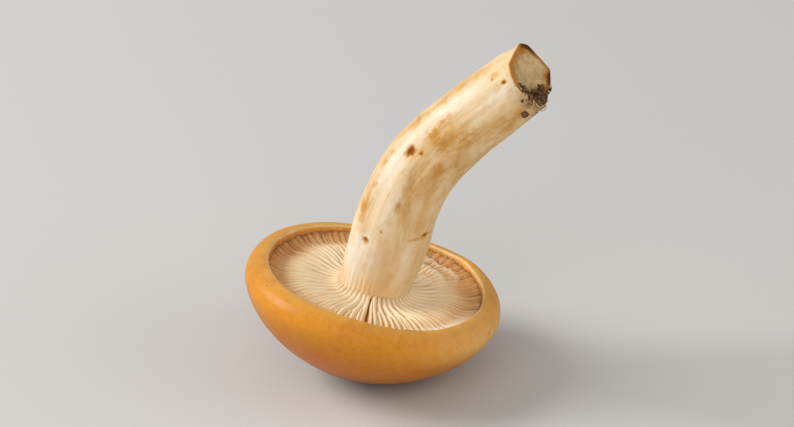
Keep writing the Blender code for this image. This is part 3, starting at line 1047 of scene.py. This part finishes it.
def stem_marks(way, angle, reach, table, spread=1.0):
    """Strongest of the table's marks at each point: bell curves of the way along and around.

    The places are first pushed about by small lumps, so that no mark has an even edge.
    """
    found = np.zeros(np.broadcast(way, angle).shape)
    at_point = stacked(MEAN_RADIUS * np.cos(angle), MEAN_RADIUS * np.sin(angle), way)
    push_along = 0.55 * lumps(at_point, 0.9, 47) + 0.25 * lumps(at_point, 0.4, 48)
    push_around = 0.45 * lumps(at_point, 0.8, 49) + 0.22 * lumps(at_point, 0.35, 50)
    for at, middle, long, wide, strength in table:
        rough = min(wide, 1.0)
        along = (way - at + push_along * rough) / (long * spread)
        across = (around(angle, middle) * reach / MM + push_around * rough) / (wide * spread)
        found = np.maximum(found, strength * np.exp(-(along**2 + across**2)))
    return found


def line_gap(way, angle, reach, start, end):
    """Distance in mm, on the unrolled stem, to the straight line between two of its places."""
    (at, turn), (to, last) = start, end
    ahead = around(angle, turn) * reach / MM
    long = math.radians(last - turn) * LINE_RADIUS
    share = np.clip((ahead * long + (way - at) * (to - at)) / (long**2 + (to - at) ** 2), 0.0, 1.0)
    return np.hypot(ahead - share * long, way - at - share * (to - at)), share


def crease_depth(way, angle, reach):
    """The small crease that runs across the stem: a bell curve of the distance to its line."""
    gap, share = line_gap(way, angle, reach, *CREASE_ENDS)
    ragged = 0.1 * lumps(stacked(way, 6.0 * angle, 0 * gap), 0.35, 54)
    return hump(gap + ragged, 0.0, 0.29) * (0.62 + 0.38 * share)


def fold_depth(way, angle, reach):
    """Depth in mm of the long folds: bell curves of the distance to each fold's fading line."""
    found = np.zeros(np.broadcast(way, angle).shape)
    for at, turn, to, last, wide, deep in FOLDS:
        gap, share = line_gap(way, angle, reach, (at, turn), (to, last))
        wander = 0.35 * lumps(stacked(way, turn, 0 * gap), 4.0, 45)
        fade = smooth(share, 0.0, 0.25) * smooth(1.0 - share, 0.0, 0.25)
        found = np.maximum(found, deep * fade * hump(gap + wander * wide, 0.0, wide))
    return found


def stem_side(knot, angle, ways):
    """Points of the stem's side, and for each the way along it in mm and its straightened place.

    The reach from the middle line is the radius times the ribs, plus long flutes, fibres, soft
    lumps, dents at the spots, the crease, and a flare with a rib for each gill at the root.
    """
    line, run, radius = stem_middle(knot)
    way = np.interp(knot, *ways)
    side = unit(np.cross(np.array((0.0, 1.0, 0.0)), run))
    depth = np.cross(run, side)
    plain = radius * (1.0 + waves(angle + RIB_TWIST * line[..., 2], STEM_RIBS))
    straight = stacked(MEAN_RADIUS * np.cos(angle), MEAN_RADIUS * np.sin(angle), way) * MM
    stretched = straight * np.array((1.0, 1.0, 0.13))
    flow = straight * np.array((1.0, 1.0, 0.08))
    move = 0.1 * lumps(stretched, 0.0021, 41) + 0.046 * lumps(flow, 0.00075, 42)
    move = move + 0.024 * lumps(flow, 0.00036, 43) + 0.1 * lumps(straight, 0.0042, 44)
    move = move + 0.025 * lumps(straight, 0.0009, 46)
    move = move - 0.16 * stem_marks(way, angle, plain, BROWN_SPOTS, 0.9)
    move = move - 0.2 * crease_depth(way, angle, plain) - 0.8 * fold_depth(way, angle, plain)
    ribs = np.cos(FULL_GILLS * (angle - SLOT_ANGLE) + math.pi / 2)
    move = move + hump(way, 4.4, 2.2) * 0.42 + hump(way, 5.6, 2.2) * 0.11 * ribs
    reach = plain + (move - 0.05) * MM
    spoke = side * np.cos(angle)[..., None] + depth * np.sin(angle)[..., None]
    short = (CUT_POINT - line - spoke * plain[..., None]) @ CUT_NORMAL
    near_cut = smooth(-short, -0.003, -0.0002)
    for turn, least in CUT_SIDES:
        facing = np.maximum(np.cos(angle - math.radians(turn)), 0.2)
        over = np.maximum(reach - least * MM / facing, 0.0)
        reach = reach - over * near_cut * 0.9
    return line + spoke * reach[..., None], way, straight, line


def make_stem():
    """The stem's side up to the knife cut, its rounded rim, and the rough face of the cut.

    For each column the knot where the side meets the cut's plane is halved in on. The rows
    then run evenly up to it, turn in over the rim by a quarter circle, and close to the middle
    of the cut in shrinking copies of the rim.
    """
    ways = stem_ways()
    columns = 240
    angle = np.arange(columns) * math.tau / columns
    low, high = np.full(columns, 5.0), np.full(columns, 9.0)
    for _ in range(30):
        knot = (low + high) / 2
        point = stem_side(knot, angle, ways)[0]
        beyond = (point - CUT_POINT) @ CUT_NORMAL > 0
        low, high = np.where(beyond, low, knot), np.where(beyond, knot, high)
    last = (low + high) / 2

    rows = 290
    share = np.linspace(0.0, 1.0, rows)[:, None] ** 0.97
    knot = FIRST_KNOT + (last - FIRST_KNOT) * share
    grid, way, straight, line = stem_side(knot, np.broadcast_to(angle, knot.shape), ways)
    short = (grid - CUT_POINT) @ -CUT_NORMAL
    rim = 0.26 * MM
    turn_in = rim - np.sqrt(np.maximum(rim**2 - np.maximum(rim - short, 0.0) ** 2, 0.0))
    inward = line - grid
    inward = unit(inward - (inward @ CUT_NORMAL)[..., None] * CUT_NORMAL)
    grid = grid + inward * turn_in[..., None]

    edge = grid[-1]
    centre = edge.mean(axis=0)
    shrink = np.linspace(1.0, 0.02, 34)[1:, None, None]
    face = centre + (edge - centre) * shrink
    from_middle = face - centre
    rough = 0.1 * lumps(face, 0.0011, 51) + 0.05 * lumps(face, 0.00045, 52)
    rough = rough - 0.2 * (1.0 - shrink[..., 0] ** 3) - 0.05
    lower_right = smooth(from_middle @ np.array((0.55, -0.35, -0.75)), 0.0006, 0.003)
    rough = rough + lower_right * (0.22 * lumps(face, 0.0008, 53) - 0.15)
    rough = np.minimum(rough, 0.0) * smooth(1.0 - shrink[..., 0], 0.0, 0.06)
    face = face + rough[..., None] * MM * CUT_NORMAL

    full = np.concatenate([grid, face])
    plain = np.full(way.shape, MEAN_RADIUS * MM)
    side_rows, face_rows = len(grid), len(face)
    ring = np.concatenate([np.ones((side_rows, 1)), shrink[..., 0]])
    distance = np.concatenate([short, np.zeros((face_rows, columns))])
    cut = np.concatenate([smooth(-short, -0.0002, -0.00002), np.ones((face_rows, columns))])

    clouded = lumps(full, 0.0014, 61) * 0.35 + lumps(full, 0.0006, 62) * 0.25 + 0.5
    left = smooth((full - centre) @ np.array((-0.75, -0.25, 0.6)), -0.0008, 0.0022)
    onto = smooth(-distance, -0.00035, -0.0001)
    near_rim = smooth(ring, 0.74 - 0.12 * left - 0.16 * clouded, 1.02 - 0.08 * clouded) * onto
    scorched = near_rim * (0.2 + 0.3 * left)
    right = smooth((full - centre) @ np.array((0.55, 0.8, 0.25)), 0.0006, 0.0026)
    edge_on = smooth(ring, 0.94 - 0.22 * clouded, 1.02 - 0.12 * clouded) * onto
    scorched = scorched + edge_on * right * (0.25 + 0.35 * clouded)
    for x, y, z, wide, strength in CUT_STAINS:
        gap = np.linalg.norm(full - centre - np.array((x, y, z)) * MM, axis=-1)
        stain = hump(gap * (0.7 + 0.6 * clouded), 0.0, wide * MM)
        scorched = scorched + strength * stain * onto * smooth(ring, 0.45, 0.95)
    scorched = np.clip(scorched, 0.0, 1.0)
    low_side = smooth((full - centre) @ np.array((0.5, -0.35, -0.79)), 0.0012, 0.004)
    dirt = low_side * smooth(-distance, -0.0019, -0.0002) * (0.55 + 0.45 * clouded)
    gap = np.linalg.norm(full - centre - SMUDGE_PLACE, axis=-1)
    dirt = np.maximum(dirt, hump(gap * (0.7 + 0.6 * clouded), 0.0, 0.0012) * onto * 0.9)

    tan_patch_and_shade, pale, spot = (
        stem_marks(way, angle, plain, table) for table in (TAN_PATCHES_AND_SHADE, PALE_STREAKS_AND_HIGHLIGHT, BROWN_SPOTS)
    )
    # the crease is browned like a spot: painted shade along it
    spot = np.clip(np.maximum(spot, crease_depth(way, angle, plain) * 0.52), 0.0, 1.0)
    # groove: painted shade in the long folds
    groove = fold_depth(way, angle, plain) / 0.16
    # painted shade: tan towards the root, where the stem meets the gills
    foot = smooth(-way, -11.0, -4.5)
    across = np.concatenate([straight, (face - centre) + np.array((0.0, 0.0, 0.06))])

    start = stem_middle(np.array(FIRST_KNOT))[0]
    end = centre - 0.25 * MM * CUT_NORMAL
    points, groups = closed_sheet(full, start, end)

    def on_side(values, at_start=0.0):
        return with_poles(np.concatenate([values, np.zeros((face_rows, columns))]), at_start)

    fields = {
        "straight": np.vstack([across.reshape(-1, 3), [start], [start]]),
        "tan_patch_and_shade": on_side(tan_patch_and_shade),
        "pale": on_side(pale),
        "spot": on_side(spot),
        "groove": on_side(groove),
        "foot": on_side(foot, 1.0),
        "cut": with_poles(cut, 0.0, 1.0),
        "scorched": with_poles(scorched),
        "dirt": with_poles(dirt),
    }
    piece = new_piece("stem_skin", laid_down(points), groups, fields, stem_flesh())
    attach(piece, "root")
    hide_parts("stem")
    return piece


# Soil


def make_soil():
    """The clump of soil: a ball of the solid's size, broken up by lumps of three sizes."""

    def rough(at):
        reach = 0.41 + 0.42 * lumps(at, 0.72, 71) + 0.32 * lumps(at, 0.36, 72)
        reach = reach + 0.16 * lumps(at, 0.15, 73)
        return SOIL_PLACE + at * SOIL_SIZE * reach[..., None]

    points, groups = closed_sheet(rough(unit_ball(60, 90)), *rough(POLES))
    piece = new_piece("soil_clump", laid_down(points), groups, {}, dark_soil())
    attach(piece, "root")
    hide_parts("soil")
    return piece


# Crumbs that show most: way along the stem and angle round it, size and how far out, in mm
BIG_CRUMBS = (
    (47.9, -60.0, 0.52, 0.1),
    (50.9, -76.0, 0.66, 0.1),
    (52.6, -54.0, 0.46, 0.2),
    (52.2, -94.0, 0.4, 0.0),
    (49.1, -80.0, 0.26, 0.05),
    (52.6, -32.0, 0.36, 0.35),
    (49.8, -66.0, 0.34, 0.1),
    (51.6, -104.0, 0.4, -0.05),
    (49.6, -20.0, 0.34, 0.05),
    (51.4, 8.0, 0.28, 0.05),
    (48.9, -38.0, 0.24, 0.05),
)


def off_stem(way, angle, ways, out_mm, over_mm):
    """Points out_mm off the stem's side, and no more than over_mm past the cut's plane."""
    surface, _, _, line = stem_side(np.interp(way, ways[1], ways[0]), angle, ways)
    place = surface + unit(surface - line) * (out_mm * MM)[..., None]
    over = np.maximum((place - CUT_POINT) @ CUT_NORMAL - over_mm * MM, 0.0)
    return place - over[..., None] * CUT_NORMAL


def crumb_places(ways):
    """Place and size of the big crumbs, then of those strewn by the rim, and the generator."""
    rng = np.random.default_rng(12)
    big = np.array(BIG_CRUMBS)
    strewn = 56
    way = np.maximum(52.8 - rng.gamma(1.3, 0.7, strewn), 50.2)
    angle = np.radians(-62.0 + rng.normal(0.0, 21.0, strewn))
    size = rng.uniform(0.09, 0.26, strewn)
    way = np.concatenate([big[:, 0], way])
    angle = np.concatenate([np.radians(big[:, 1]), angle])
    size = np.concatenate([big[:, 2], size])
    out = np.concatenate([big[:, 3], np.zeros(strewn)])
    return off_stem(way, angle, ways, out, 0.1), size * MM, rng


def make_crumbs():
    """Loose crumbs of soil: small balls of five rings, each pushed in and out by its own lumps."""
    place, size, rng = crumb_places(stem_ways())
    count, rings, columns = len(size), 5, 8
    ball = np.vstack([unit_ball(rings, columns).reshape(-1, 3), POLES])
    squash = rng.uniform(0.7, 1.1, (count, 1, 3))
    own = rng.uniform(0.0, 90.0, (count, 1, 3))
    reach = 1.0 + 0.38 * lumps(ball + own, 0.8, 81) + 0.15 * lumps(ball + own, 0.4, 82)
    points = place[:, None] + ball * squash * (reach * size[:, None])[..., None]
    groups = [many(faces, count, len(ball)) for faces in sheet_faces(rings, columns)]
    piece = new_piece("soil_crumbs", laid_down(points), groups, {}, dark_soil())
    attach(piece, "root")
    return piece


# Torn fibres at the cut: start way and angle, end way and angle, how far they bow out in mm
SHREDS = (
    (49.4, -60.0, 51.4, -40.0, 0.9, 0.11),
    (48.6, -66.0, 50.8, -58.0, 0.7, 0.09),
    (50.6, -88.0, 49.0, -70.0, 0.6, 0.08),
    (51.0, -48.0, 52.6, -62.0, 0.8, 0.1),
    (49.8, -44.0, 51.2, -28.0, 0.5, 0.08),
    (52.2, -70.0, 52.0, -44.0, 1.0, 0.1),
    (48.0, -50.0, 49.4, -38.0, 0.4, 0.07),
    (51.8, -110.0, 50.4, -98.0, 0.3, 0.07),
    (50.4, 2.0, 51.8, 16.0, 0.4, 0.08),
    (51.0, -66.0, 52.8, -34.0, 1.5, 0.07),
    (50.2, -54.0, 52.2, -70.0, 1.3, 0.06),
    (49.2, -76.0, 51.0, -84.0, 0.8, 0.06),
    (52.0, -84.0, 50.4, -62.0, 1.2, 0.07),
)


def make_shreds():
    """Torn fibres by the soil: thin round threads along arcs that bow out from the stem's side."""
    ways = stem_ways()
    table = np.array(SHREDS)
    count, stations, columns = len(table), 13, 7
    t = np.linspace(0.0, 1.0, stations)
    way = table[:, 0, None] + (table[:, 2] - table[:, 0])[:, None] * t
    angle = np.radians(table[:, 1, None] + (table[:, 3] - table[:, 1])[:, None] * t)
    angle = angle + 0.05 * np.sin(9.0 * t + table[:, 0, None])
    bow = table[:, 4, None] * np.sin(math.pi * t) ** 0.8 - 0.15
    path = off_stem(way, angle, ways, bow, 0.15)
    run = unit(np.gradient(path, axis=1))
    side = unit(np.cross(run, np.array((0.3, 0.2, 0.93))))
    up = np.cross(run, side)
    thick = table[:, 5, None] * MM * (0.45 + 0.55 * np.sin(math.pi * t) ** 0.5)
    turn = np.arange(columns) * math.tau / columns
    spoke = side[..., None, :] * np.cos(turn)[:, None] + up[..., None, :] * np.sin(turn)[:, None]
    points = path[..., None, :] + spoke * thick[..., None, None]
    groups = tube_faces(count, stations, columns)
    piece = new_piece("foot_shreds", laid_down(points), groups, {}, shred_flesh())
    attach(piece, "root")
    return piece


# The studio


def aimed(thing, place, target):
    """Puts a lamp or camera at a place, looking at the target with its top upwards."""
    thing.location = place
    thing.rotation_mode = "QUATERNION"
    thing.rotation_quaternion = (Vector(target) - Vector(place)).to_track_quat("-Z", "Y")
    bpy.context.scene.collection.objects.link(thing)


def set_camera():
    """A long lens at the photograph's height of view, straight at the mushroom's front."""
    target = Vector((0.00175, 0.0, 0.0264))
    distance = 0.678
    elevation = math.radians(25.0)
    lens = bpy.data.cameras.new("camera")
    lens.lens = 200.0
    lens.sensor_width = 36.0
    lens.clip_start = 0.05
    camera = bpy.data.objects.new("camera", lens)
    back = Vector((0.0, -math.cos(elevation), math.sin(elevation)))
    aimed(camera, target + back * distance, target)
    bpy.context.scene.camera = camera


def soft_lamp(name, place, size, power, colour):
    """A square soft box that shines on the mushroom."""
    light = bpy.data.lights.new(name, "AREA")
    light.shape = "SQUARE"
    light.size = size
    light.energy = power
    light.color = colour
    aimed(bpy.data.objects.new(name, light), place, (0.0, 0.0, 0.02))


def set_studio():
    """A pale floor, a soft lamp at the left, weak ones in front and right, a grey-white sky."""
    floor_mesh = bpy.data.meshes.new("floor")
    half = 4.0
    corners = [(-half, -half, 0), (half, -half, 0), (half, half, 0), (-half, half, 0)]
    floor_mesh.from_pydata(corners, [], [(0, 1, 2, 3)])
    floor = bpy.data.objects.new("floor", floor_mesh)
    bpy.context.scene.collection.objects.link(floor)
    paper = Finish("pale_floor", Roughness=0.85, Specular_IOR_Level=0.2)
    floor_mesh.materials.append(paper.wear(Base_Color=(0.64, 0.64, 0.64)))

    soft_lamp("key", (-0.73, 0.1, 0.52), 0.48, 6.6, (1.0, 0.985, 0.96))
    soft_lamp("front", (-0.12, -0.82, 0.45), 0.7, 2.4, (1.0, 0.96, 0.9))
    soft_lamp("side", (0.8, -0.22, 0.42), 0.7, 1.8, (1.0, 0.955, 0.87))
    world = bpy.data.worlds.new("studio")
    world.use_nodes = True
    sky = world.node_tree.nodes["Background"]
    sky.inputs["Color"].default_value = (1.0, 0.98, 0.945, 1.0)
    sky.inputs["Strength"].default_value = 0.36
    bpy.context.scene.world = world
    bpy.context.scene.view_settings.view_transform = "Standard"
    bpy.context.scene.view_settings.look = "None"


set_camera()
set_studio()
make_skin()
make_gills()
make_stem()
make_soil()
make_crumbs()
make_shreds()
